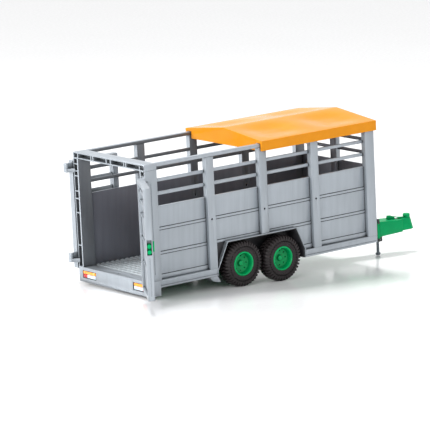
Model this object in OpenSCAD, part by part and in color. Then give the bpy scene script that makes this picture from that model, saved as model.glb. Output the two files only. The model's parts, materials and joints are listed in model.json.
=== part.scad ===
// Toy livestock trailer, about 1:16, with two tail gates, a rocking tandem
// bogie, a lift-off half roof and a fold-down support leg.
// World frame: +X forward, +Z up, origin on the ground midway between the axles.
// The body modules are drawn square in their own frame, with x = 0 at the rear
// faces of the rear posts and z = 0 at the bottom of the bumper. tipped() then
// stands the body on the bogie pivot, nose up, as it rests on its support leg.

/* [Body] */
// Length from the rear posts to the front wall
body_l = 373; // [340:1:420]
// Width over the side posts
body_w = 152; // [136:1:170]
// Height of the top rails above the bumper's bottom
wall_h = 168.6; // [150:0.2:195]
// Nose-up angle of the body when it stands on the support leg
tilt = 3.33; // [0:0.01:5]

/* [Posts and rails] */
// Depth of every side post across the body
post_d = 7.2; // [6:0.1:9]
// Length of a middle post along the body
mid_post_l = 12; // [9:0.5:15]
// Length of a rear corner post along the body
rear_post_l = 19.2; // [16:0.2:24]
// Width of a rear corner post across the body
rear_post_w = 10.4; // [9:0.1:14]
// Length of a front corner post along the body
front_post_l = 15; // [12:0.5:18]
// Clear length of the rearmost bay
rear_bay = 77.1; // [60:0.5:92]
// Clear length of the foremost bay
front_bay = 79.5; // [62:0.5:95]
// Height of the top rails
rail_h = 4.5; // [3:0.1:6]
// Height of the tall header over the tail gates
header_h = 8.2; // [7:0.1:11]
// Depth of the open pockets in the header and rear posts
pocket_d = 10; // [6:0.5:13]
// Wall of the pocketed parts
pocket_wall = 1.5; // [1.2:0.1:2]

/* [Walls] */
// Thickness of panels and slats
panel_t = 2.2; // [1.6:0.1:3]
// How far panels and slats sit behind the outer face of the posts
panel_recess = 5; // [3:0.1:5]
// Height of the top edge of the solid panels
panel_top = 113; // [100:0.5:120]
// Height of one slat
slat_h = 4.6; // [3:0.1:6]
// Height of the middle of the lower slat
slat_1_z = 128.8; // [124:0.2:134]
// Height of the middle of the upper slat
slat_2_z = 145.9; // [141:0.2:149]
// Heights of the middles of the grooved ribs on the panels
rib_zs = [53.1, 84.1];
// Height of one rib between its two grooves
rib_h = 2.8; // [2:0.1:5]
// How far ribs and the bottom ledge stand off the panel
rib_t = 0.4; // [0.3:0.1:1.2]
// Height and depth of the grooves beside the ribs
groove = 1; // [0.6:0.1:1.1]
// Height of the top of the bottom ledge
ledge_z = 25.4; // [23:0.2:30]
// Top of the sills
sill_top = 19.7; // [18:0.1:22]
// Bottom of the sills
sill_bottom = 9.9; // [8:0.1:12]
// Radius of the peg hole through each middle post
peg_r = 1.4; // [1:0.1:1.8]

/* [Floor and bumper] */
// Thickness of the plain floor plate
floor_t = 1.9; // [1.5:0.1:3]
// Height of the cross ribs on the floor
floor_rib_h = 1.7; // [0.8:0.1:2.2]
// Spacing of the cross ribs
floor_rib_pitch = 7.7; // [6:0.1:10]
// Length of the bumper along the body
bumper_l = 17; // [14:0.5:18]
// Width of a lamp cluster
lamp_w = 29; // [22:0.5:34]
// Distance of a lamp cluster from the body's side
lamp_inset = 7.5; // [4:0.5:10]

/* [Running gear] */
// Tyre radius
tyre_r = 29.6; // [27:0.1:31]
// Tyre width
tyre_w = 19; // [16:0.5:21]
// Rim radius where the tyre sits
rim_r = 15.8; // [13:0.1:18]
// Distance between the two axles
wheel_base = 64.1; // [62.5:0.1:68]
// Distance of the bogie pivot from the rear posts
pivot_x = 181.3; // [170:0.5:190]
// Height of the bogie pivot in the body
pivot_z = 7.5; // [7:0.1:7.8]
// Height of the axles above the bogie pivot
axle_rise = 9.1; // [8.5:0.1:9.6]
// Radius of the bogie pivot shaft
pivot_r = 2; // [1.5:0.1:2.5]
// Radius of the axle pins
axle_r = 1.8; // [1.4:0.1:2.2]
// Wheel arch: half length at the sill and at the top, and height of the top
arch_l = 71; // [67:0.5:76]
arch_top_l = 56; // [50:0.5:60]
arch_z = 50.8; // [50:0.2:55]
// Wall of a wheel arch
arch_t = 1.3; // [1:0.1:2]
// How far a wheel arch reaches into the body
arch_w = 25.5; // [24:0.5:28]

/* [Gates] */
// Thickness of a gate leaf
gate_t = 8.4; // [7:0.1:9]
// Bottom of a gate leaf
gate_bottom = 15.8; // [15.2:0.1:22]
// Top of a gate leaf
gate_top = 156; // [150:0.2:158]
// Gap between the leaf and the rear posts, and between the two leaves
gate_gap = 0.8; // [0.5:0.1:1.5]
// Hinge axis behind the rear posts
hinge_back = 8; // [6.5:0.1:8.5]
// Hinge axis outside the body's side
hinge_out = 5.3; // [5:0.1:6.5]
// Radius of the hinge knuckles
knuckle_r = 3.2; // [2.8:0.1:3.6]
// Radius of the hinge pins
hinge_pin_r = 1.3; // [1:0.1:1.6]
// How far each leaf stands open at rest: right, then left
right_open = 149.5; // [0:0.5:270]
left_open = 270; // [0:0.5:270]

/* [Roof] */
// Height of the ridge above the bumper's bottom
ridge_z = 181.8; // [178:0.2:190]
// Height of the eaves' top edge
eave_z = 172.5; // [170:0.2:176]
// Depth of the skirt below the eaves
skirt_h = 13; // [9:0.5:16]
// Thickness of the roof
roof_t = 1.6; // [1.2:0.1:2.2]
// How far the roof stands out past the body on each side
roof_out = 4; // [2.4:0.1:5]

/* [Drawbar] */
// Length of the drawbar box in front of the front wall
drawbar_l = 99; // [85:1:120]
// Width of the drawbar
drawbar_w = 24; // [20:0.5:30]
// Height of the drawbar's top edge at its front end
bar_front_h = 16; // [15:0.1:17]
// Distance of the coupling's middle in front of the drawbar
knob_ahead = 16.5; // [14:0.5:20]
// Radius of the hood's round nose at its foot
nose_r = 9; // [8.5:0.1:11]
// Height of the hood
nose_h = 15.6; // [14:0.1:17]
// Radius of the coupling pin's round head
knob_r = 4.8; // [4:0.1:5]
// Radius of the cup that drops over the towing peg
cup_r = 4; // [3:0.1:4.5]
// Depth of that cup
cup_h = 7; // [5:0.5:8]
// Distance of the support leg in front of the front wall
leg_ahead = 60; // [59:0.5:75]
// Radius of the support leg
leg_r = 2; // [1.6:0.1:2.4]
// Height of the leg's pivot in the body
leg_pivot_z = -5.5; // [-7:0.1:-5.4]

/* [Fits] */
// Radial clearance of a pin that turns in its hole
running_gap = 0.06; // [0.02:0.01:0.1]
// Radial clearance of a pin that is held fast
tight_gap = 0.01; // [0.01:0.01:0.02]
// Gap left between parts that pass each other
pass_gap = 0.4; // [0.3:0.1:0.8]

/* [Hidden] */
$fn = 48;
eps = 0.01;
half_w = body_w / 2;
panel_y = half_w - panel_recess;           // outer face of panels and slats
inner_y = half_w - post_d;                 // inner face of posts and rails
floor_top = sill_top - floor_rib_h;
deck_z = floor_top - floor_t;
rail_z = wall_h - rail_h;
mid_bay = (body_l - rear_post_l - front_post_l - rear_bay - front_bay - 3 * mid_post_l) / 2;
post_x = [rear_post_l + rear_bay,
          rear_post_l + rear_bay + mid_post_l + mid_bay,
          rear_post_l + rear_bay + 2 * (mid_post_l + mid_bay)];
front_x = body_l - front_post_l;
// start and end of each bay
bays = [[rear_post_l, post_x[0]], [post_x[0] + mid_post_l, post_x[1]],
        [post_x[1] + mid_post_l, post_x[2]], [post_x[2] + mid_post_l, front_x]];
pivot_up = tyre_r - axle_rise;             // bogie pivot above the ground
wheel_y = half_w + 1 - tyre_w;             // inner face of a tyre
arch_y = half_w - arch_w;                  // inner wall of a wheel arch
arm_t = 3.2;                               // thickness of a bogie arm
arm_y = wheel_y - 0.8 - arm_t;             // inner face of a bogie arm
chassis_y = 26;                            // inner face of a chassis rail
chassis_w = 7;
chassis_bottom = 1;
screw_r = 1.2;
clip_l = 3.4;
saddle_x = body_l + 54;                    // band round the drawbar, under the clips
saddle_z = [-5.5, 20];
lip_t = 1.1;                               // lip round a wheel arch
gate_mid = gate_t / 2 + gate_gap - hinge_back;  // leaf's middle plane, outward from the hinge axis
gate_start = hinge_out + 4.2;              // hinge axis to the leaf's hinge edge
gate_end = half_w + hinge_out - gate_gap / 2;
stile_w = 8;
arm_zs = [147, 30];                        // bottoms of the hinge arms on a leaf
arm_h = 7;
lug_h = 4.6;                               // height of the fixed lugs under the arms
lug_reach = 5;                             // how far a lug runs forward along the post
latch_z = 75;
hub_in = 9;                                // wheel disc behind the tyre's outer face
latch_h = 14;
roof_x = post_x[1] + 2.6;
roof_end = body_l + pass_gap + roof_t;
roof_y = half_w + roof_out;
drawbar_x = body_l + drawbar_l;
knob_x = drawbar_x + knob_ahead;
leg_x = body_l + leg_ahead;
leg_y = -4.4;                              // the leg stands right of the middle
leg_l = pivot_up + (leg_x - pivot_x) * sin(tilt) + (leg_pivot_z - pivot_z) * cos(tilt);

grey = [0.66, 0.68, 0.70];
green = [0.0, 0.62, 0.36];
orange = [0.96, 0.60, 0.18];
black = [0.12, 0.12, 0.13];

// ---- helpers -------------------------------------------------------------

// Stand the body on the bogie pivot, nose up.
module tipped() {
    translate([0, 0, pivot_up]) rotate([0, -tilt, 0])
        translate([-pivot_x, 0, -pivot_z]) children();
}
// A box from one corner to the other.
module span(a, b) { translate(a) cube([b[0] - a[0], b[1] - a[1], b[2] - a[2]]); }
// The same children on the right (-1) or left (1) side; they are drawn for the left.
module on_side(s) { if (s < 0) mirror([0, 1, 0]) children(); else children(); }
// A profile drawn in X and Z, extruded from y to y + w.
module side_profile(points, y, w) {
    translate([0, y + w, 0]) rotate([90, 0, 0]) linear_extrude(w) polygon(points);
}
// Outline of a wheel arch, shrunk inward by d.
function arch_outline(d) = [
    [pivot_x - arch_l - 2 + d, sill_bottom - (d > 0 ? 1 : 0)],
    [pivot_x - arch_l - 2 + d, sill_bottom + 7],
    [pivot_x - arch_top_l + d * 0.6, arch_z - d],
    [pivot_x + arch_top_l - d * 0.6, arch_z - d],
    [pivot_x + arch_l - 2 - d, sill_bottom + 12],
    [pivot_x + arch_l - 2 - d, sill_bottom - (d > 0 ? 1 : 0)]];

// Triangle behind the sloping rear side of a wheel arch.
arch_corner = [[pivot_x - arch_l - 2, sill_top], [pivot_x - arch_top_l, arch_z],
               [pivot_x - arch_l - 2, arch_z]];

// ---- body ----------------------------------------------------------------

module chassis_frame() {
    color(green) tipped() difference() {
        union() {
            for (s = [-1, 1]) on_side(s)
                span([bumper_l, chassis_y, chassis_bottom], [body_l - 4, chassis_y + chassis_w, deck_z]);
            for (x = [30, 100, 262, 340, body_l - 12])
                span([x, -chassis_y, chassis_bottom + 4], [x + 8, chassis_y, deck_z]);
            // outriggers that carry the sills
            for (s = [-1, 1]) on_side(s) for (x = [30, 262, 340])
                span([x, chassis_y + chassis_w, chassis_bottom + 9], [x + 8, inner_y - 1, deck_z]);
        }
        // bearing holes for the pivot shaft
        for (s = [-1, 1]) on_side(s)
            translate([pivot_x, chassis_y - 1, pivot_z]) rotate([-90, 0, 0])
                cylinder(r = pivot_r + running_gap, h = chassis_w + 2);
        screw_places() cylinder(r = screw_r + 0.05, h = 8);
    }
}

// Four screws that hold the chassis up to the floor, from below.
module screw_places() {
    for (x = [34, 344], y = [-12, 12]) translate([x, y, chassis_bottom + 4]) children();
}
module screws() {
    color("dimgray") tipped() screw_places() {
        translate([0, 0, -1]) cylinder(r = 2.2, h = 1);
        translate([0, 0, -eps]) cylinder(r = screw_r, h = 7);
    }
}

module floor_deck() {
    first = rear_post_l + 1;
    rib_n = floor((body_l - post_d - 1 - first) / floor_rib_pitch) - 1;
    color(grey) tipped() difference() {
        union() {
            span([bumper_l, -inner_y, deck_z], [body_l - post_d, inner_y, floor_top]);
            for (i = [0:rib_n])
                span([first + i * floor_rib_pitch, -inner_y + 2, floor_top - eps],
                     [first + (i + 0.5) * floor_rib_pitch, inner_y - 2, sill_top]);
        }
        for (s = [-1, 1]) on_side(s)
            side_profile(arch_outline(0), arch_y, arch_w + 1);
    }
}

module rear_bumper() {
    lamp_z = [5, 15.2];
    color(grey) tipped() difference() {
        span([0, -half_w, 0], [bumper_l, half_w, sill_top - 0.6]);
        span([pocket_wall + 4, -half_w + 2, -1], [bumper_l - pocket_wall, half_w - 2, sill_top - 4]);
        for (s = [-1, 1]) on_side(s)
            span([-1, half_w - lamp_inset - lamp_w, lamp_z[0]], [3, half_w - lamp_inset, lamp_z[1]]);
        // hole that the latch of a closed gate drops into
        translate([9, 0, sill_top - 5]) cylinder(r = 2, h = 6);
    }
}

module lamp_part(y0, y1, z0, z1, x0) {
    for (s = [-1, 1]) on_side(s)
        span([x0, half_w - lamp_inset - lamp_w + y0, z0], [2.4, half_w - lamp_inset - lamp_w + y1, z1]);
}

module lamp_housings() {
    color("white") tipped() difference() {
        for (s = [-1, 1]) on_side(s)
            span([0.4, half_w - lamp_inset - lamp_w, 5], [3, half_w - lamp_inset, 15.2]);
        for (s = [-1, 1]) on_side(s)
            span([-1, half_w - lamp_inset - lamp_w + 1, 6], [2.4, half_w - lamp_inset - 1, 14.4]);
    }
}
module amber_lenses() { color([1, 0.66, 0.15]) tipped() lamp_part(2, lamp_w - 1, 10.7, 14.4, 0.2); }
module red_lenses() { color([0.7, 0.1, 0.12]) tipped() lamp_part(lamp_w - 9, lamp_w - 1, 6, 10.3, 0.2); }
module clear_lenses() { color([0.85, 0.92, 0.95]) tipped() lamp_part(2, lamp_w - 9.4, 6, 10.3, 0.2); }

module rear_header() {
    z0 = wall_h - header_h;
    // pockets on each half, from the middle outward, as shares of the half width
    cells = [[0, 0.047], [0.071, 0.425], [0.447, 0.48], [0.502, 0.856], [0.88, 0.979]];
    color(grey) tipped() difference() {
        span([0, -half_w, z0], [rear_post_l, half_w, wall_h]);
        for (s = [-1, 1]) on_side(s) for (c = cells)
            span([-1, c[0] * half_w - (c[0] == 0 ? eps : 0), z0 + pocket_wall],
                 [pocket_d, c[1] * half_w, wall_h - pocket_wall]);
    }
}

// Rear corner post with a column of open pockets in its rear face.
module rear_post(s) {
    z0 = sill_top - 0.6;
    z1 = wall_h - header_h;
    cells = [0, 0.2, 0.5, 0.63, 0.7, 0.84, 0.885, 0.95, 1];
    color(grey) tipped() on_side(s) difference() {
        span([0, half_w - rear_post_w, z0], [rear_post_l, half_w, z1]);
        for (i = [0:len(cells) - 2])
            span([-1, half_w - rear_post_w + 2.6, z0 + cells[i] * (z1 - z0) + pocket_wall / 2],
                 [pocket_d, half_w - pocket_wall, z0 + cells[i + 1] * (z1 - z0) - pocket_wall / 2]);
        // shallow groove down the outer face
        span([8.6, half_w - 0.5, 28], [9.5, half_w + 1, 144]);
    }
}
module right_rear_post() { rear_post(-1); }
module left_rear_post() { rear_post(1); }

// Middle and front posts of one side. Middle posts over an arch stop at its top.
module side_posts(s) {
    color(grey) tipped() on_side(s) difference() {
        union() {
            for (x = post_x) {
                over_arch = x + mid_post_l > pivot_x - arch_l && x < pivot_x + arch_l - 2;
                span([x, inner_y, over_arch && x > pivot_x - arch_top_l ? arch_z : sill_top],
                     [x + mid_post_l, half_w, rail_z]);
            }
            span([front_x, inner_y, sill_top], [body_l, half_w, rail_z]);
        }
        side_profile(arch_outline(-lip_t), inner_y - 1, post_d + 2);
        for (x = post_x) translate([x + mid_post_l / 2, inner_y - 1, rib_zs[1]])
            rotate([-90, 0, 0]) cylinder(r = peg_r, h = post_d + 2);
    }
}
module right_posts() { side_posts(-1); }
module left_posts() { side_posts(1); }

module top_rail(s) {
    color(grey) tipped() on_side(s)
        span([rear_post_l, inner_y, rail_z], [body_l, half_w, wall_h]);
}
module right_top_rail() { top_rail(-1); }
module left_top_rail() { top_rail(1); }

module front_top_rail() {
    color(grey) tipped()
        span([body_l - post_d, -inner_y, wall_h - header_h], [body_l, inner_y, wall_h]);
}
module front_centre_post() {
    color(grey) tipped()
        span([body_l - post_d, -6, sill_top], [body_l, 6, wall_h - header_h]);
}

// One wall panel between two posts, with ribs and a bottom ledge.
module wall_panel(x0, x1) {
    y0 = panel_y - panel_t;
    span([x0, y0, sill_top], [x1, panel_y, panel_top]);
    span([x0, panel_y - eps, sill_top], [x1, panel_y + rib_t, ledge_z]);
    for (z = rib_zs) span([x0, panel_y - eps, z - rib_h / 2], [x1, panel_y + rib_t, z + rib_h / 2]);
    // top lip
    span([x0, panel_y - eps, panel_top - 1.6], [x1, panel_y + rib_t, panel_top]);
}
module side_panels(s) {
    color(grey) tipped() on_side(s) difference() {
        for (b = bays) wall_panel(b[0], b[1]);
        side_profile(arch_outline(-lip_t), inner_y - 1, post_d + 2);
        side_profile(arch_corner, inner_y - 1, post_d + 2);
        // grooves above and below each rib and above the ledge
        for (z = concat([for (r = rib_zs) r - rib_h / 2 - groove], [for (r = rib_zs) r + rib_h / 2], [ledge_z]))
            span([0, panel_y - groove, z], [body_l, half_w, z + groove]);
    }
}
module right_panels() { side_panels(-1); }
module left_panels() { side_panels(1); }

module front_panels() {
    x0 = body_l - panel_recess + 1;
    color(grey) tipped() for (s = [-1, 1]) on_side(s) {
        span([x0, 6, sill_top], [x0 + panel_t, inner_y, panel_top]);
        for (z = rib_zs) span([x0 + panel_t - eps, 6, z - rib_h / 2],
                              [x0 + panel_t + rib_t, inner_y, z + rib_h / 2]);
    }
}

module side_slats(s) {
    color(grey) tipped() on_side(s) for (b = bays, z = [slat_1_z, slat_2_z])
        span([b[0], panel_y - panel_t, z - slat_h / 2], [b[1], panel_y, z + slat_h / 2]);
}
module right_slats() { side_slats(-1); }
module left_slats() { side_slats(1); }

module front_slats() {
    x0 = body_l - panel_recess + 1;
    color(grey) tipped() for (s = [-1, 1], z = [slat_1_z, slat_2_z]) on_side(s)
        span([x0, 6, z - slat_h / 2], [x0 + panel_t, inner_y, z + slat_h / 2]);
}

module side_sills(s) {
    color(grey) tipped() on_side(s) difference() {
        union() {
            span([bumper_l, inner_y, sill_bottom], [body_l, half_w, sill_top]);
            // lip round the wheel arch
            intersection() {
                side_profile(arch_outline(-lip_t), inner_y, post_d + 0.9);
                span([0, inner_y, sill_bottom], [body_l, half_w + 1, wall_h]);
            }
        }
        side_profile(arch_outline(0), inner_y - 1, post_d + 3);
        // drip groove near the bottom edge
        span([bumper_l - 1, half_w - 0.6, sill_bottom + 2.2], [body_l - 1, half_w + 1, sill_bottom + 3]);
        // room under the rear post, which stands on the bumper and the sill
        span([0, inner_y - 1, sill_top - 0.6], [rear_post_l, half_w + 1, sill_top + 1]);
    }
}
module right_sills() { side_sills(-1); }
module left_sills() { side_sills(1); }
module front_sill() {
    color(grey) tipped() span([body_l - post_d, -inner_y, deck_z], [body_l, inner_y, sill_top]);
}

module wheel_arch(s) {
    color(black) tipped() on_side(s) difference() {
        side_profile(arch_outline(0), arch_y, arch_w - 0.6);
        side_profile(arch_outline(arch_t), arch_y + arch_t, arch_w + 2);
    }
    color(black) tipped() on_side(s) difference() {
        side_profile(arch_corner, panel_y - panel_t, panel_t - 0.3);
        side_profile(arch_outline(-lip_t - eps), inner_y - 1, post_d + 2);
    }
}
module right_wheel_arch() { wheel_arch(-1); }
module left_wheel_arch() { wheel_arch(1); }

module mud_flap(s) {
    x1 = pivot_x - arch_l - 2;
    color(grey) tipped() on_side(s) {
        span([x1 - 12, arch_y + 2, sill_bottom - 1.6], [x1, half_w - 1, sill_bottom]);
        side_profile([[x1 - 12, sill_bottom - 1.6 + eps], [x1 - 8, sill_bottom - 6], [x1, sill_bottom - 8.5],
                      [x1 + 4, sill_bottom - 8.5], [x1, sill_bottom - 1.6 + eps]],
                     arch_y + 6, half_w - 1 - arch_y - 6);
    }
}
module right_mud_flap() { mud_flap(-1); }
module left_mud_flap() { mud_flap(1); }

// ---- gates ---------------------------------------------------------------

// Fixed lugs on a rear post that carry the two hinge pins.
module hinge_lugs(s) {
    color(grey) tipped() on_side(s) for (z = arm_zs) difference() {
        union() {
            translate([-hinge_back, half_w + hinge_out, z - lug_h - 0.1]) cylinder(r = knuckle_r, h = lug_h);
            side_lug(z - lug_h - 0.1);
        }
        translate([-hinge_back, half_w + hinge_out, z - lug_h - 1])
            cylinder(r = hinge_pin_r + tight_gap, h = lug_h + 2);
    }
}
// Web from the post's outer face back to the hinge axis.
module side_lug(z) {
    translate([0, 0, z]) linear_extrude(lug_h)
        polygon([[lug_reach, half_w], [lug_reach, half_w + 1.2], [-hinge_back + 2, half_w + hinge_out + 0.9],
                 [-hinge_back - 1, half_w + hinge_out - 2.6], [-0.4, half_w - 3.4],
                 [0, half_w - 3.4], [0, half_w]]);
}
module right_hinge_lugs() { hinge_lugs(-1); }
module left_hinge_lugs() { hinge_lugs(1); }

module hinge_pins() {
    color("silver") tipped() for (s = [-1, 1]) on_side(s) for (z = arm_zs)
        translate([-hinge_back, half_w + hinge_out, z - lug_h])
            cylinder(r = hinge_pin_r, h = lug_h + arm_h - 0.5);
}

// Place a leaf that is drawn for the left side: u runs from the hinge axis along
// the closed leaf, v is outward to the rear, w is up.
module leaf(s, angle) {
    tipped() on_side(s) translate([-hinge_back, half_w + hinge_out, 0]) rotate([0, 0, -angle])
        rotate([0, 0, -90]) mirror([0, 1, 0]) children();
}
module gate_frame(s, angle) {
    v0 = gate_mid - gate_t / 2;
    v1 = gate_mid + gate_t / 2;
    rail = 4.4;
    color(grey) leaf(s, angle) difference() {
        union() {
            span([gate_start, v0, gate_bottom], [gate_start + stile_w, v1, gate_top]);
            span([gate_end - stile_w, v0, gate_bottom], [gate_end, v1, gate_top]);
            for (z = [gate_bottom, gate_top - rail])
                span([gate_start + stile_w - eps, v0, z], [gate_end - stile_w + eps, v1, z + rail]);
            for (z = arm_zs) {
                translate([0, 0, z]) cylinder(r = knuckle_r, h = arm_h);
                span([0, -1.6, z], [gate_start + eps, 1.6, z + arm_h]);
            }
        }
        for (z = arm_zs) translate([0, 0, z - 1]) cylinder(r = hinge_pin_r + running_gap, h = arm_h + 0.7);
        // hollow in the free edge for the latch, on the right leaf only
        if (s < 0) {
            span([gate_end - 5, v0 + 1.2, latch_z - 2], [gate_end + 1, v1 - 1.2, latch_z + latch_h + 3]);
            span([gate_end - 4.6, v1 - 2, latch_z + 2], [gate_end - 2.2, v1 + 1, latch_z + latch_h + 2]);
        }
        // shallow fluting down the free edge
        span([gate_end - 0.4, gate_mid - 0.5, gate_bottom + 6], [gate_end + 1, gate_mid + 0.5, latch_z - 6]);
    }
}
module right_gate_frame() { gate_frame(-1, right_open); }
module left_gate_frame() { gate_frame(1, left_open); }

module gate_panel(s, angle) {
    rail = 4.4;
    u0 = gate_start + stile_w;
    u1 = gate_end - stile_w;
    color(grey) leaf(s, angle) {
        span([u0, gate_mid - 1.1, gate_bottom + rail], [u1, gate_mid + 1.1, panel_top + 2]);
        for (z = rib_zs)
            span([u0, gate_mid + 1.1 - eps, z - rib_h / 2], [u1, gate_mid + 1.1 + rib_t, z + rib_h / 2]);
        for (z = concat(rib_zs, [panel_top]))
            span([u0, gate_mid - 2.8, z - 1], [u1, gate_mid - 1.1 + eps, z + 1]);
    }
}
module right_gate_panel() { gate_panel(-1, right_open); }
module left_gate_panel() { gate_panel(1, left_open); }

module gate_slats(s, angle) {
    color(grey) leaf(s, angle) for (z = [slat_1_z, slat_2_z - 3.4])
        span([gate_start + stile_w, gate_mid - 2.2, z - slat_h / 2],
             [gate_end - stile_w, gate_mid + 2.2, z + slat_h / 2]);
}
module right_gate_slats() { gate_slats(-1, right_open); }
module left_gate_slats() { gate_slats(1, left_open); }

// Sliding latch: a two-lobed catch in the free edge and a thumb strip outside.
module gate_latch() {
    v1 = gate_mid + gate_t / 2;
    v = gate_mid;
    u = gate_end - 3.4;
    lobe_r = 2.6;
    color(green) leaf(-1, right_open) {
        span([u - 1, v - lobe_r, latch_z - 1.9], [u, v + lobe_r, latch_z + 12.2]);
        for (z = [latch_z + 1.6, latch_z + 8.8])
            translate([u - eps, v, z]) rotate([0, 90, 0]) cylinder(r = lobe_r, h = 2.7);
        span([u - 0.9, v + lobe_r - eps, latch_z + 3], [u + 0.9, v1 + 0.3 + eps, latch_z + 9.6]);
        span([u - 1.4, v1 + 0.3, latch_z + 2], [u + 1.4, v1 + 2.2, latch_z + latch_h + 1]);
    }
}

// ---- roof ----------------------------------------------------------------

// Cross section of the roof at its outer or inner face.
function gable(d) = [[-roof_y + d, eave_z - skirt_h - (d > 0 ? 1 : 0)], [-roof_y + d, eave_z - d * 0.9],
                     [0, ridge_z - d * 1.01], [roof_y - d, eave_z - d * 0.9],
                     [roof_y - d, eave_z - skirt_h - (d > 0 ? 1 : 0)]];
module across(points, x0, x1) {
    translate([x0, 0, 0]) rotate([90, 0, 90]) linear_extrude(x1 - x0) polygon(points);
}
module roof_half() {
    notch_y = inner_y - 0.8;
    color(orange) tipped() difference() {
        union() {
            difference() {
                across(gable(0), roof_x, roof_end);
                across(gable(roof_t), roof_x + roof_t, roof_end - roof_t);
            }
            // ribs that rest on the top rails
            for (s = [-1, 1]) on_side(s)
                span([roof_x + 6, inner_y + 1.5, wall_h + 0.1], [roof_end - 10, half_w - 2, eave_z]);
        }
        // notches that let the top rails and posts pass the rear skirt
        for (s = [-1, 1]) on_side(s)
            span([roof_x - 1, notch_y, eave_z - skirt_h - 1],
                 [roof_x + roof_t + 1, half_w + 0.8, wall_h + 0.4]);
    }
}

// ---- drawbar -------------------------------------------------------------

module drawbar() {
    x0 = body_l - 4;
    w = drawbar_w / 2;
    color(green) tipped() difference() {
        union() {
            side_profile([[body_l, -2.6], [drawbar_x, -0.6], [drawbar_x, bar_front_h],
                          [saddle_x, 19.4], [body_l, 21.5]], -w, drawbar_w);
            span([x0, -w, 1], [body_l + eps, w, deck_z]);
            // mounting flange against the front wall
            span([body_l, -w - 3, -6], [body_l + 3, w + 3, 17]);
            // band that the clips grip
            span([saddle_x, -w - 0.5, saddle_z[0]], [saddle_x + clip_l + 1, w + 0.5, saddle_z[1]]);
        }
        // hollow underneath
        span([body_l + 5, -w + 1.8, -8], [drawbar_x - 12, w - 1.8, bar_front_h - 1.6]);
    }
}

// Black corner clips on the drawbar's band.
module drawbar_clips() {
    w = drawbar_w / 2 + 0.52;
    x1 = saddle_x + clip_l;
    color(black) tipped() for (s = [-1, 1]) on_side(s) {
        span([saddle_x, w - 4, saddle_z[1] + 0.02], [x1, w + 0.9, saddle_z[1] + 3.4]);
        span([saddle_x, w, 17], [x1, w + 0.9, saddle_z[1] + 0.03]);
        span([saddle_x, w - 2.2, saddle_z[0] - 1.6], [x1, w + 0.9, saddle_z[0] - 0.02]);
        span([saddle_x, w, saddle_z[0] - 0.03], [x1, w + 0.9, -3]);
    }
}

module coupling_hood() {
    color(green) tipped() difference() {
        union() {
            across([[-nose_r + 0.15, 0], [-knob_r - 0.2, nose_h], [knob_r + 0.2, nose_h],
                    [nose_r - 0.15, 0]], drawbar_x, knob_x);
            translate([knob_x, 0, 0]) cylinder(r1 = nose_r, r2 = knob_r + 0.4, h = nose_h);
        }
        translate([knob_x, 0, -1]) cylinder(r = cup_r, h = cup_h + 1);
        translate([knob_x, 0, cup_h + 1]) cylinder(r = 2 + running_gap, h = 20);
    }
}

// Catch block on the drawbar with a bowed strap that bridges to the hood.
module coupling_strap() {
    x = drawbar_x;
    h = bar_front_h;
    // the drawbar's top edge falls by this much for each millimetre forward
    fall = (19.4 - h) / (drawbar_x - saddle_x);
    color(green) tipped() side_profile([
        [x - 17, h + 0.02 + 17 * fall], [x - 4.6, h + 0.02 + 4.6 * fall], [x - 6.6, h + 2.8],
        [x - 4.3, h + 2.4], [x + 2, h + 0.7], [x + 7, nose_h + 0.1], [x + 11, nose_h + 0.02],
        [x + 11, nose_h + 1.3], [x + 8, nose_h + 1.5], [x + 2, h + 1.9], [x - 4.3, h + 3.6],
        [x - 9, h + 4.6], [x - 11.5, h + 5.9], [x - 16.4, h + 6.3], [x - 17, h + 3]], -2.5, 5);
}

module coupling_pin() {
    color(green) tipped() translate([knob_x, 0, 0]) {
        translate([0, 0, cup_h + 1.3]) cylinder(r = 2, h = nose_h - cup_h - 1);
        translate([0, 0, nose_h + 0.1]) cylinder(r = knob_r, h = 4);
        translate([0, 0, nose_h + 4.1 - eps]) cylinder(r1 = knob_r, r2 = knob_r - 0.8, h = 0.8);
    }
}

module leg_bracket() {
    color(black) tipped() difference() {
        union() {
            for (y = [-5.4, 3.2])
                span([leg_x - 4, leg_y + y, leg_pivot_z - 2.7], [leg_x + 4, leg_y + y + 2.2, -1]);
            span([leg_x - 8, -drawbar_w / 2 + 1.8, -1 - eps], [leg_x + 8, drawbar_w / 2 - 1.8, 0.6]);
        }
        translate([leg_x, leg_y - 6, leg_pivot_z]) rotate([-90, 0, 0])
            cylinder(r = 1.2 + running_gap, h = 12);
    }
}

module support_leg() {
    color([0.4, 0.43, 0.46]) tipped() translate([leg_x, leg_y, leg_pivot_z]) {
        rotate([90, 0, 0]) translate([0, 0, -5.3]) cylinder(r = 1.2, h = 10.6);
        rotate([90, 0, 0]) translate([0, 0, -3]) cylinder(r = 2.4, h = 6);
        translate([0, 0, -leg_l + 2]) cylinder(r = leg_r, h = leg_l - 2);
        // round foot that meets the ground at one point whatever the tilt
        translate([0, 0, -leg_l + 4]) intersection() {
            sphere(r = 4);
            translate([0, 0, -4]) cylinder(r = 3.6, h = 3.6);
        }
    }
}

// ---- running gear --------------------------------------------------------

module bogie_arms() {
    color(green) translate([0, 0, pivot_up]) difference() {
        for (s = [-1, 1]) on_side(s)
            side_profile([[-wheel_base / 2 - 4, axle_rise - 4], [-8, -4], [8, -4],
                          [wheel_base / 2 + 4, axle_rise - 4], [wheel_base / 2 + 4, axle_rise + 3.5],
                          [6, 5], [-6, 5], [-wheel_base / 2 - 4, axle_rise + 3.5]], arm_y, arm_t);
        for (x = [-wheel_base / 2, wheel_base / 2], s = [-1, 1]) on_side(s)
            translate([x, arm_y - 1, axle_rise]) rotate([-90, 0, 0])
                cylinder(r = axle_r + tight_gap, h = arm_t + 2);
        translate([0, -half_w, 0]) rotate([-90, 0, 0]) cylinder(r = pivot_r + tight_gap, h = body_w);
    }
}

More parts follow.
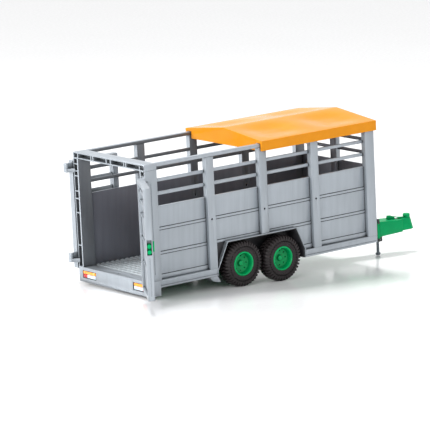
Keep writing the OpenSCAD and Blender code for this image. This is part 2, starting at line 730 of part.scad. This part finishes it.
module pivot_shaft() {
    color("silver") translate([0, 0, pivot_up]) rotate([90, 0, 0])
        translate([0, 0, -arm_y - arm_t]) cylinder(r = pivot_r, h = 2 * (arm_y + arm_t));
}

module axle_pins() {
    color("silver") for (x = [-1, 1], s = [-1, 1]) on_side(s)
        translate([x * wheel_base / 2, arm_y, tyre_r]) rotate([-90, 0, 0])
            cylinder(r = axle_r, h = half_w + 1 - hub_in - 0.2 - arm_y);
}

// Rim drawn about the Y axis, with y = 0 at the tyre's outer face and y negative inward.
module rim(x, s) {
    color(green) on_side(s) translate([x * wheel_base / 2, half_w + 1, tyre_r]) rotate([-90, 0, 0])
        difference() {
            rotate_extrude($fn = 64) polygon([
                [axle_r + running_gap, -tyre_w + 1], [4.5, -tyre_w + 1], [5, -hub_in - 2.5],
                [rim_r - 3, -hub_in - 1.5], [rim_r - 2, -tyre_w + 2.5], [rim_r, -tyre_w + 2.5],
                [rim_r, -1.2], [rim_r - 1.4, -0.4], [rim_r - 2.4, -1.6], [rim_r - 3.4, 1 - hub_in],
                [8, -hub_in], [4.4, -hub_in - 0.2], [3.6, 0.8 - hub_in], [3, 2 - hub_in],
                [0, 2 - hub_in], [0, -hub_in], [axle_r + running_gap, -hub_in]]);
            for (a = [0:45:315]) rotate([0, 0, a]) translate([9.4, 0, -14]) cylinder(r = 0.9, h = 14, $fn = 24);
        }
}
module tyre(x, s) {
    color(black) on_side(s) translate([x * wheel_base / 2, half_w + 1, tyre_r]) rotate([-90, 0, 0])
        rotate_extrude($fn = 72) polygon([
            [rim_r, -tyre_w + 2.5], [rim_r + 2, -tyre_w + 0.8], [tyre_r - 5, -tyre_w],
            [tyre_r - 1.2, -tyre_w + 1.6], [tyre_r, -tyre_w + 4], [tyre_r, -4], [tyre_r - 1.2, -1.6], [tyre_r - 5, 0], [rim_r + 2, -0.8],
            [rim_r, -1.2]]);
}
module rear_right_rim() { rim(-1, -1); }
module rear_right_tyre() { tyre(-1, -1); }
module front_right_rim() { rim(1, -1); }
module front_right_tyre() { tyre(1, -1); }
module rear_left_rim() { rim(-1, 1); }
module rear_left_tyre() { tyre(-1, 1); }
module front_left_rim() { rim(1, 1); }
module front_left_tyre() { tyre(1, 1); }

chassis_frame();
floor_deck();
rear_bumper();
lamp_housings();
amber_lenses();
red_lenses();
clear_lenses();
rear_header();
right_rear_post();
left_rear_post();
right_posts();
left_posts();
right_top_rail();
left_top_rail();
front_top_rail();
front_centre_post();
right_panels();
left_panels();
front_panels();
right_slats();
left_slats();
front_slats();
right_sills();
left_sills();
front_sill();
right_wheel_arch();
left_wheel_arch();
right_mud_flap();
left_mud_flap();
right_hinge_lugs();
left_hinge_lugs();
hinge_pins();
right_gate_frame();
right_gate_panel();
right_gate_slats();
left_gate_frame();
left_gate_panel();
left_gate_slats();
gate_latch();
roof_half();
drawbar();
drawbar_clips();
coupling_hood();
coupling_strap();
coupling_pin();
leg_bracket();
support_leg();
bogie_arms();
pivot_shaft();
axle_pins();
rear_right_rim();
rear_right_tyre();
front_right_rim();
front_right_tyre();
rear_left_rim();
rear_left_tyre();
front_left_rim();
front_left_tyre();
screws();
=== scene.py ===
"""Toy livestock trailer: looks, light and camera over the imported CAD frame."""
import json
import math

import bmesh
import bpy
from mathutils import Matrix, Vector


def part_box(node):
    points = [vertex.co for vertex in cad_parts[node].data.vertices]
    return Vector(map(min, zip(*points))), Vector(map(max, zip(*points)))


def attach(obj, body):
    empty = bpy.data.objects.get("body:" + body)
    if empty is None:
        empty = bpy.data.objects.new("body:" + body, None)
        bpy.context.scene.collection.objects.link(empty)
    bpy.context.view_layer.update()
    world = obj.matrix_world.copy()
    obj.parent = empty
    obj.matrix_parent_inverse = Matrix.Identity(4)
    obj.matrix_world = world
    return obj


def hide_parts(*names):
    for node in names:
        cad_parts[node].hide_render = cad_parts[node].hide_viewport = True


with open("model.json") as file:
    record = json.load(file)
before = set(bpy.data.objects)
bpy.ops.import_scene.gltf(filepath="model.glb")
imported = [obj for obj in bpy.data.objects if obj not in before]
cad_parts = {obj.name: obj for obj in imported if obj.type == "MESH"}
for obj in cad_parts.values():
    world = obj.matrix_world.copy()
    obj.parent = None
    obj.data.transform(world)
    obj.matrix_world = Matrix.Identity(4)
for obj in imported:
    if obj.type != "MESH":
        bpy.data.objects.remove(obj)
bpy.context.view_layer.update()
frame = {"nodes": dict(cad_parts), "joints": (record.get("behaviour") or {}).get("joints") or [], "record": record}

NODES = frame["nodes"]
MM = 0.001
WHEELS = ("rear_right", "front_right", "rear_left", "front_left")

# The body stands nose up on its support leg. The roof's slide axis is the body's own up.
UP = Vector(next(j["axis"] for j in frame["joints"] if j["name"] == "roof_lift"))
TILT = math.atan2(-UP.x, UP.z)
TO_WORLD = Matrix.Rotation(-TILT, 4, "Y")
TO_BODY = TO_WORLD.inverted()


def body_box(node):
    """Lowest and highest corner of a CAD node, square to the tilted body."""
    points = [TO_BODY @ v.co for v in NODES[node].data.vertices]
    low = Vector(min(p[i] for p in points) for i in range(3))
    high = Vector(max(p[i] for p in points) for i in range(3))
    return low, high


# ---- materials ------------------------------------------------------------

# How far the painted shade in a crease reaches, and the openness at which it starts and stops fading.
CREASE_REACH = 2.8 * MM
CREASE_FADE = (0.3, 0.8)
# The gloss drifts by this share either way, over patches of this many features per metre.
GLOSS_DRIFT = 0.12
GLOSS_PATCHES = (160, 160, 60)
# A face's normal times its place in metres along an axis: below the first number it looks fully inward and
# takes the full painted shade, and above the second it takes none.
INWARD_FULLY = -0.05
INWARD_FROM = -0.02


def new_node(tree, kind, **inputs):
    """A shader node with its named inputs set."""
    node = tree.nodes.new(kind)
    for name, value in inputs.items():
        node.inputs[name.replace("_", " ")].default_value = value
    return node


def noise(tree, stretch, detail=3.0):
    """Noise over the object's own space; stretch is features per metre along x, y and z."""
    where = tree.nodes.new("ShaderNodeTexCoord")
    scale = tree.nodes.new("ShaderNodeMapping")
    scale.inputs["Scale"].default_value = stretch
    tree.links.new(where.outputs["Object"], scale.inputs["Vector"])
    grain = new_node(tree, "ShaderNodeTexNoise", Scale=1.0, Detail=detail, Roughness=0.55)
    tree.links.new(scale.outputs["Vector"], grain.inputs["Vector"])
    return grain.outputs["Fac"]


def ramp(tree, source, low, high, start=0.35, end=0.65):
    """Turns a 0 to 1 value into a colour or grey between low and high."""
    node = tree.nodes.new("ShaderNodeValToRGB")
    node.color_ramp.elements[0].position = start
    node.color_ramp.elements[1].position = end
    node.color_ramp.elements[0].color = (*low, 1)
    node.color_ramp.elements[1].color = (*high, 1)
    tree.links.new(source, node.inputs["Fac"])
    return node.outputs["Color"]


def shaded_by_shape(tree, colour, depth, reach, start=0.08, end=0.62):
    """Darkens a colour down to depth where the shape itself shuts out the light, within reach metres."""
    hollow = new_node(tree, "ShaderNodeAmbientOcclusion", Distance=reach)
    hollow.samples = 8
    grey = ramp(tree, hollow.outputs["AO"], (depth,) * 3, (1, 1, 1), start, end)
    return times(tree, colour, grey)


def times(tree, colour, tint):
    """Two colours multiplied."""
    mix = tree.nodes.new("ShaderNodeMix")
    mix.data_type = "RGBA"
    mix.blend_type = "MULTIPLY"
    mix.inputs["Factor"].default_value = 1.0
    tree.links.new(colour, mix.inputs["A"])
    tree.links.new(tint, mix.inputs["B"])
    return mix.outputs["Result"]


def painted_inner_shade(tree, colour, axis, tint):
    """Paints shade, as a darker tint, on the faces that look inward along one axis of the body."""
    where = tree.nodes.new("ShaderNodeTexCoord")
    parts = []
    for output in ("Normal", "Object"):
        split = tree.nodes.new("ShaderNodeSeparateXYZ")
        tree.links.new(where.outputs[output], split.inputs["Vector"])
        parts.append(split.outputs[axis])
    product = tree.nodes.new("ShaderNodeMath")
    product.operation = "MULTIPLY"
    tree.links.new(parts[0], product.inputs[0])
    tree.links.new(parts[1], product.inputs[1])
    span = tree.nodes.new("ShaderNodeMapRange")
    span.inputs["From Min"].default_value = INWARD_FULLY
    span.inputs["From Max"].default_value = INWARD_FROM
    tree.links.new(product.outputs["Value"], span.inputs["Value"])
    return times(tree, colour, ramp(tree, span.outputs["Result"], tint, (1, 1, 1), 0.0, 1.0))


def moulded(name, colour, rough, vary=0.06, streak=(90, 90, 90), grain=900, bump=0.05, metallic=0.0,
            coat=0.0, specular=0.5, depth=1.0, reach=0.1, full=0.62, crease=1.0, inner=None):
    """Injection-moulded plastic: colour drift, uneven gloss, a fine skin texture and painted shade in hollows and
    creases.

    vary is the drift of the colour and streak its features per metre. depth, reach and full set the painted
    shade in wide hollows, crease is how dark the painted shade in a narrow one gets, and inner is an axis and
    a tint for the painted shade on faces that look inward.
    """
    material = bpy.data.materials.new(name)
    material.use_nodes = True
    tree = material.node_tree
    shader = tree.nodes["Principled BSDF"]
    shader.inputs["Metallic"].default_value = metallic
    shader.inputs["Coat Weight"].default_value = coat
    shader.inputs["Specular IOR Level"].default_value = specular
    dark = tuple(c * (1 - vary) for c in colour)
    light = tuple(min(1, c * (1 + vary)) for c in colour)
    surface = ramp(tree, noise(tree, streak), dark, light)
    if depth < 1:
        surface = shaded_by_shape(tree, surface, depth, reach, end=full)
    if crease < 1:
        surface = shaded_by_shape(tree, surface, crease, CREASE_REACH, *CREASE_FADE)
    if inner:
        surface = painted_inner_shade(tree, surface, *inner)
    tree.links.new(surface, shader.inputs["Base Color"])
    smooth, dull = rough * (1 - GLOSS_DRIFT), rough * (1 + GLOSS_DRIFT)
    gloss = ramp(tree, noise(tree, GLOSS_PATCHES), (smooth,) * 3, (dull,) * 3)
    tree.links.new(gloss, shader.inputs["Roughness"])
    skin = new_node(tree, "ShaderNodeBump", Strength=bump, Distance=0.2 * MM)
    tree.links.new(noise(tree, (grain,) * 3, detail=2.0), skin.inputs["Height"])
    tree.links.new(skin.outputs["Normal"], shader.inputs["Normal"])
    return material


def ribbed_lens(name, colour, painted_glow):
    """Coloured plastic lens with fine upright flutes and faint emission as painted light, though it is no lamp."""
    material = moulded(name, colour, rough=0.12, vary=0.1, coat=0.6)
    tree = material.node_tree
    shader = tree.nodes["Principled BSDF"]
    where = tree.nodes.new("ShaderNodeTexCoord")
    flutes = new_node(tree, "ShaderNodeTexWave", Scale=420.0, Distortion=0.0)
    flutes.bands_direction = "Y"
    tree.links.new(where.outputs["Object"], flutes.inputs["Vector"])
    bump = new_node(tree, "ShaderNodeBump", Strength=0.5, Distance=0.4 * MM)
    tree.links.new(flutes.outputs["Fac"], bump.inputs["Height"])
    tree.links.new(bump.outputs["Normal"], shader.inputs["Normal"])
    shader.inputs["Subsurface Weight"].default_value = 0.3
    shader.inputs["Subsurface Scale"].default_value = 2 * MM
    # The emission is painted light: the lens is no lamp, yet it shines faintly in its own colour.
    shader.inputs["Emission Color"].default_value = (*colour, 1)
    shader.inputs["Emission Strength"].default_value = painted_glow
    return material


def silver(name, inner=None, colour=(0.36, 0.395, 0.43), streak=(170, 170, 9), vary=0.045, depth=0.3,
           crease=0.12):
    """Silver-grey plastic with flow streaks that run down the walls, and painted shade in its hollows and creases.
    """
    return moulded(name, colour, rough=0.4, vary=vary, streak=streak, metallic=0.5, depth=depth,
                   reach=0.05, crease=crease, inner=inner)


# Where depth or crease is below 1, painted shade darkens the colour in hollows and creases: the silver parts, the
# deck's ribs, the green parts, the rims' dishes and the tyres' treads.
SILVER = silver("silver_plastic")
# The side and end copies paint shade on the faces that look into the body, where the walls shut out the light.
SIDE_SHEET = silver("silver_side_sheet_shaded_inside", inner=("Y", (0.4, 0.375, 0.4)))
SIDE_BAR = silver("silver_side_bar_shaded_inside", inner=("Y", (0.42, 0.41, 0.41)))
END_SHEET = silver("silver_end_sheet_shaded_inside", inner=("X", (0.4, 0.375, 0.4)))
# The deck is a lighter copy of the silver plastic: painted light on the upward floor.
DECK = silver("silver_deck_lit", colour=(0.56, 0.61, 0.64), streak=(9, 60, 60), vary=0.03, depth=1.0,
              crease=0.1)
GREEN = moulded("green_plastic", (0.0, 0.345, 0.11), rough=0.42, vary=0.05, specular=0.1, depth=0.35,
                reach=0.02, crease=0.4)
RIM = moulded("rim_plastic", (0.0, 0.42, 0.125), rough=0.3, vary=0.04, specular=0.18, depth=0.1,
              reach=0.03, full=0.92, crease=0.4)
ORANGE = moulded("orange_plastic", (0.70, 0.26, 0.012), rough=0.2, vary=0.03, streak=(40, 40, 40),
                 coat=0.14, specular=0.06)
BLACK = moulded("black_plastic", (0.022, 0.022, 0.025), rough=0.42, vary=0.2)
SLATE = moulded("slate_plastic", (0.13, 0.15, 0.18), rough=0.4)
RUBBER = moulded("soft_tyre", (0.022, 0.017, 0.018), rough=0.5, vary=0.25, grain=1600, bump=0.25,
                 specular=0.35, depth=0.15, reach=0.006)
STEEL = moulded("plain_steel", (0.5, 0.5, 0.52), rough=0.3, metallic=1.0, grain=3000)
AMBER = ribbed_lens("amber_lens", (1.0, 0.34, 0.02), painted_glow=0.25)
RED = ribbed_lens("red_lens", (0.55, 0.012, 0.02), painted_glow=0.1)
CLEAR = ribbed_lens("clear_lens", (0.62, 0.74, 0.82), painted_glow=0.15)

SLOTS = {"grey_plastic": SILVER, "green_plastic": GREEN, "orange_plastic": ORANGE,
         "black_plastic": BLACK, "slate_plastic": SLATE, "tyre": RUBBER, "steel": STEEL,
         "amber_lens": AMBER, "red_lens": RED, "clear_lens": CLEAR}
SLOT_OF = {part["node"]: part["material_slot"] for part in frame["record"]["subparts"]}


def round_edges(obj, width, segments, angle):
    """Rounds every edge that turns by more than angle degrees."""
    bevel = obj.modifiers.new("edges", "BEVEL")
    bevel.width = width
    bevel.segments = segments
    bevel.limit_method = "ANGLE"
    bevel.angle_limit = math.radians(angle)
    bevel.harden_normals = True


def soften(obj, width):
    """Joins the shell, clears the flat triangles and rounds the edges."""
    weld = obj.modifiers.new("weld", "WELD")
    weld.merge_threshold = 1e-6
    flat = obj.modifiers.new("flat", "DECIMATE")
    flat.decimate_type = "DISSOLVE"
    flat.angle_limit = math.radians(1)
    round_edges(obj, width, segments=2, angle=35)
    for face in obj.data.polygons:
        face.use_smooth = True


# Nodes whose material isn't their slot's own.
FINISH = {"front_panels": END_SHEET, "front_slats": END_SHEET, "front_centre_post": END_SHEET,
          "front_top_rail": END_SHEET, "floor_deck": DECK}
for hand in ("right_", "left_"):
    FINISH[hand + "panels"] = SIDE_SHEET
    for bar in ("rear_post", "posts", "slats", "top_rail"):
        FINISH[hand + bar] = SIDE_BAR
for wheel in WHEELS:
    FINISH[wheel + "_rim"] = RIM

# Edge rounding in millimetres, where it isn't the usual one.
USUAL_EDGE = 0.4
EDGE = {"front_panels": 0.12, "front_slats": 1.1, "floor_deck": 0.25,
        "drawbar": 0.6, "coupling_hood": 0.6, "coupling_pin": 0.6, "coupling_strap": 0.3,
        "hinge_pins": 0.15, "pivot_shaft": 0.2, "axle_pins": 0.2, "screws": 0.15}
for hand in ("right_", "left_"):
    EDGE.update({hand + "panels": 0.12, hand + "slats": 1.1, hand + "gate_slats": 0.9,
                 hand + "top_rail": 0.9})
for node_name, node_object in NODES.items():
    node_object.data.materials.clear()
    node_object.data.materials.append(FINISH.get(node_name) or SLOTS[SLOT_OF[node_name]])
    soften(node_object, EDGE.get(node_name, USUAL_EDGE) * MM)


# ---- mesh pieces ----------------------------------------------------------

def piece(name, mesh_maker, material, body, replaced):
    """A finished mesh piece that stands for a CAD node."""
    mesh = bpy.data.meshes.new(name)
    shape = bmesh.new()
    mesh_maker(shape)
    bmesh.ops.recalc_face_normals(shape, faces=shape.faces)
    shape.to_mesh(mesh)
    shape.free()
    for face in mesh.polygons:
        face.use_smooth = True
    mesh.materials.append(material)
    obj = bpy.data.objects.new(name, mesh)
    bpy.context.scene.collection.objects.link(obj)
    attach(obj, body)
    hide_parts(replaced)
    return obj


def round_axle(centre, radius, angle, y):
    """A point round the wheel's axle, y to the side of its centre."""
    return centre + Vector((radius * math.cos(angle), y, radius * math.sin(angle)))


def bridge(shape, here, after):
    """Faces between two closed loops with the same number of corners."""
    n = len(here)
    for i in range(n):
        shape.faces.new((here[i], here[(i + 1) % n], after[(i + 1) % n], after[i]))


def ring_of(shape, profile, centre, steps):
    """Revolves a closed (radius, y) profile round the wheel's axle."""
    rings = []
    for k in range(steps):
        angle = 2 * math.pi * k / steps
        rings.append([shape.verts.new(round_axle(centre, radius, angle, y)) for radius, y in profile])
    for k in range(steps):
        bridge(shape, rings[k], rings[(k + 1) % steps])


# Half width of a lug at its foot and at its top, as a share of its span.
LUG_FOOT, LUG_TOP = 0.62, 0.42


def tread_block(shape, centre, angle, span, sections):
    """A chunky lug. sections lists (y, bottom radius, top radius, angle lead) across the tyre."""
    loops = []
    for y, bottom, top, lead in sections:
        outline = ((bottom, -LUG_FOOT), (top, -LUG_TOP), (top, LUG_TOP), (bottom, LUG_FOOT))
        loops.append([shape.verts.new(round_axle(centre, radius, angle + lead + share * span, y))
                      for radius, share in outline])
    for here, after in zip(loops, loops[1:]):
        bridge(shape, here, after)
    shape.faces.new(loops[0])
    shape.faces.new(loops[-1][::-1])


# Tyre: a plain carcass under two rows of lugs that are half a step apart. Lengths are in millimetres,
# and spans and leads are shares of the step from one lug to the next.
LUGS = 40
CARCASS_STEPS = 120
TREAD_HEIGHT = 2.0
# The carcass from the rim out: (above the rim, in from the side face).
BEAD = ((0.0, 1.4), (0.9, 0.5), (2.0, 0.4), (2.7, 1.0), (5.0, 0.7))
# The carcass from the side wall to the tread: (below the tread's base, in from the side face).
SHOULDER = ((3.4, 0.5), (2.2, 1.0), (0.7, 2.2), (0.0, 4.2))
# A lug starts this far from the tyre's middle plane, with its foot this far below the tread's base.
LUG_START = 0.6
LUG_SINK = 0.5
# Its other sections: (in from the side face, foot below the base, top below the tyre's radius, lead).
LUG = ((4.0, LUG_SINK, 0.0, 0.22), (1.5, 2.6, 0.7, 0.25), (0.1, 4.6, 2.4, 0.25), (0.1, 6.2, 6.6, 0.25))
LUG_SPAN = 0.62
# The short bars on the side wall: (in from the side face, foot and top above the rim).
WALL_BAR = ((0.9, 3.4, 5.6), (0.25, 3.6, 5.4))
WALL_BAR_LEAD = 0.75
WALL_BAR_SPAN = 0.30


def tyre_maker(node):
    """A mesh maker for the tyre that stands for this CAD tyre."""
    low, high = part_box(node)
    centre = (low + high) / 2
    radius = (high.z - low.z) / 2
    half = (high.y - low.y) / 2
    rim_low, rim_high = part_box(node.replace("tyre", "rim"))
    rim = (rim_high.z - rim_low.z) / 2
    base = radius - TREAD_HEIGHT * MM
    step = 2 * math.pi / LUGS

    def make(shape):
        side = [(rim + out * MM, half - inset * MM) for out, inset in BEAD]
        side += [(base - down * MM, half - inset * MM) for down, inset in SHOULDER]
        ring_of(shape, side + [(r, -y) for r, y in reversed(side)], centre, CARCASS_STEPS)
        for k in range(LUGS):
            for s, shift in ((1, 0), (-1, 0.5)):
                lug = [(s * LUG_START * MM, base - LUG_SINK * MM, radius, 0.0)]
                lug += [(s * (half - inset * MM), base - foot * MM, radius - top * MM, step * lead)
                        for inset, foot, top, lead in LUG]
                tread_block(shape, centre, (k + shift) * step, step * LUG_SPAN, lug)
                bar = [(s * (half - inset * MM), rim + foot * MM, rim + top * MM, step * WALL_BAR_LEAD)
                       for inset, foot, top in WALL_BAR]
                tread_block(shape, centre, (k + shift) * step, step * WALL_BAR_SPAN, bar)
    return make


for wheel in WHEELS:
    tyre = piece(wheel + "_tread_tyre", tyre_maker(wheel + "_tyre"), RUBBER, wheel + "_wheel",
                 wheel + "_tyre")
    round_edges(tyre, 0.25 * MM, segments=2, angle=40)

# Roof: two dished pans on each slope, folded skirts, and notches for the top rails in the rear skirt.
ROOF_LOW, ROOF_HIGH = body_box("roof_half")
RAIL_LOW, RAIL_HIGH = body_box("left_top_rail")
SHEET = 1.6 * MM
STEPS_ALONG, STEPS_ACROSS = 36, 30
NOTCH_SIDE, NOTCH_TOP = 0.8 * MM, 0.4 * MM
PANS_ALONG = 2
PAN_DEPTH = 3.2 * MM
# Shares of a pan: the flat margin at its front and rear, the one at ridge and eave, and the width of its
# soft shoulder.
PAN_END, PAN_SIDE, PAN_SHOULDER = 0.03, 0.04, 0.42
# How far the top falls from the ridge to the eave.
SLOPE_DROP = ROOF_HIGH.z - max((TO_BODY @ v.co).z for v in NODES["roof_half"].data.vertices
                               if (TO_BODY @ v.co).y > ROOF_HIGH.y - 0.1 * MM)


def dish(t):
    """0 at both ends of a pan and 1 over its middle, with soft shoulders."""
    if t <= 0 or t >= 1:
        return 0.0
    edge = min(t, 1 - t) / PAN_SHOULDER
    return 1.0 if edge >= 1 else edge * edge * (3 - 2 * edge)


def roof_height(along, across):
    """Top surface: along and across run 0 to 1 from rear to front and from ridge to eave."""
    flat = ROOF_HIGH.z - SLOPE_DROP * across
    run = along * PANS_ALONG % 1.0
    pan = dish((run - PAN_END) / (1 - 2 * PAN_END)) * dish((across - PAN_SIDE) / (1 - 2 * PAN_SIDE))
    return flat - PAN_DEPTH * pan


def roof_maker(shape):
    """The roof's outer skin: the top with its pans, the side skirts and the two end skirts."""
    half = ROOF_HIGH.y
    length = ROOF_HIGH.x - ROOF_LOW.x
    notch_low, notch_high = RAIL_LOW.y - NOTCH_SIDE, RAIL_HIGH.y + NOTCH_SIDE
    notch_top = RAIL_HIGH.z + NOTCH_TOP
    steps = [i / STEPS_ALONG for i in range(STEPS_ALONG + 1)]
    side = [i / STEPS_ACROSS for i in range(STEPS_ACROSS + 1)]
    side = sorted(side + [notch_low / half, notch_high / half])
    cuts = [-s for s in reversed(side[1:])] + side
    grid = {}

    def corner(i, j):
        if (i, j) not in grid:
            x = ROOF_LOW.x + steps[i] * length
            grid[i, j] = shape.verts.new(
                TO_WORLD @ Vector((x, cuts[j] * half, roof_height(steps[i], abs(cuts[j])))))
        return grid[i, j]

    for i in range(len(steps) - 1):
        for j in range(len(cuts) - 1):
            shape.faces.new((corner(i, j), corner(i + 1, j), corner(i + 1, j + 1), corner(i, j + 1)))
    last_i, last_j = len(steps) - 1, len(cuts) - 1
    lower = {}

    def below(i, j, z):
        key = (i, j, round(z, 7))
        if key not in lower:
            p = TO_BODY @ grid[i, j].co
            lower[key] = shape.verts.new(TO_WORLD @ Vector((p.x, p.y, z)))
        return lower[key]

    for j in (0, last_j):
        for i in range(last_i):
            shape.faces.new((corner(i, j), corner(i + 1, j), below(i + 1, j, ROOF_LOW.z),
                             below(i, j, ROOF_LOW.z)))
    for i in (0, last_i):
        for j in range(last_j):
            middle = abs(cuts[j] + cuts[j + 1]) / 2 * half
            notched = i == 0 and notch_low < middle < notch_high
            z = notch_top if notched else ROOF_LOW.z
            shape.faces.new((corner(i, j), corner(i, j + 1), below(i, j + 1, z), below(i, j, z)))


roof = piece("roof_sheet", roof_maker, ORANGE, "roof", "roof_half")
sheet = roof.modifiers.new("sheet", "SOLIDIFY")
sheet.thickness = SHEET
sheet.offset = -1
round_edges(roof, 0.7 * MM, segments=3, angle=30)


# ---- floor, light and camera ---------------------------------------------

def stage_floor():
    """A white glossy floor, a hair below the tyres."""
    mesh = bpy.data.meshes.new("floor")
    size, sag = 6.0, -0.1 * MM
    mesh.from_pydata([(-size, -size, sag), (size, -size, sag), (size, size, sag), (-size, size, sag)], [],
                     [(0, 1, 2, 3)])
    material = moulded("floor_gloss", (0.98, 0.985, 0.99), rough=0.16, vary=0.01, streak=(3, 3, 3),
                       bump=0.0)
    mesh.materials.append(material)
    obj = bpy.data.objects.new("floor", mesh)
    bpy.context.scene.collection.objects.link(obj)


def area_light(name, place, target, size, power):
    """A rectangular light at place that faces target."""
    data = bpy.data.lights.new(name, "AREA")
    data.shape = "RECTANGLE"
    data.size, data.size_y = size
    data.energy = power
    obj = bpy.data.objects.new(name, data)
    obj.location = place
    obj.rotation_euler = (Vector(target) - Vector(place)).to_track_quat("-Z", "Y").to_euler()
    bpy.context.scene.collection.objects.link(obj)


stage_floor()
AIM = (0.03, 0, 0.08)
area_light("overhead", (0.1, 0.6, 2.0), AIM, (0.7, 0.5), power=34)
area_light("rear_fill", (-2.0, 1.1, 0.8), AIM, (1.2, 0.9), power=26)
area_light("side_fill", (-1.5, -0.8, 0.7), AIM, (0.6, 0.5), power=13)

# The surroundings are white at the horizon and below, and grey overhead.
world = bpy.data.worlds.new("studio")
bpy.context.scene.world = world
world.use_nodes = True
sky = world.node_tree
where = sky.nodes.new("ShaderNodeTexCoord")
height = sky.nodes.new("ShaderNodeSeparateXYZ")
sky.links.new(where.outputs["Generated"], height.inputs["Vector"])
dome = ramp(sky, height.outputs["Z"], (1.0, 1.0, 1.0), (0.5, 0.5, 0.51), start=0.25, end=0.8)
sky.links.new(dome, sky.nodes["Background"].inputs["Color"])
sky.nodes["Background"].inputs["Strength"].default_value = 1.08

# A long lens that stands well back, low behind the trailer and to its right.
TARGET = Vector((0.0055, 0.0, 0.080))
AZIMUTH, ELEVATION = math.radians(-38.0), math.radians(9.26)
DISTANCE = 4.593
LOOK = Vector((-math.sin(AZIMUTH) * math.cos(ELEVATION), math.cos(AZIMUTH) * math.cos(ELEVATION),
               -math.sin(ELEVATION)))
optics = bpy.data.cameras.new("camera")
optics.lens = 296.8
optics.sensor_width = 36
optics.shift_x = -0.036
optics.shift_y = -0.0017
optics.clip_end = 50
camera = bpy.data.objects.new("camera", optics)
camera.location = TARGET - LOOK * DISTANCE
camera.rotation_euler = LOOK.to_track_quat("-Z", "Y").to_euler()
bpy.context.scene.collection.objects.link(camera)
bpy.context.scene.camera = camera
bpy.context.scene.view_settings.view_transform = "Standard"
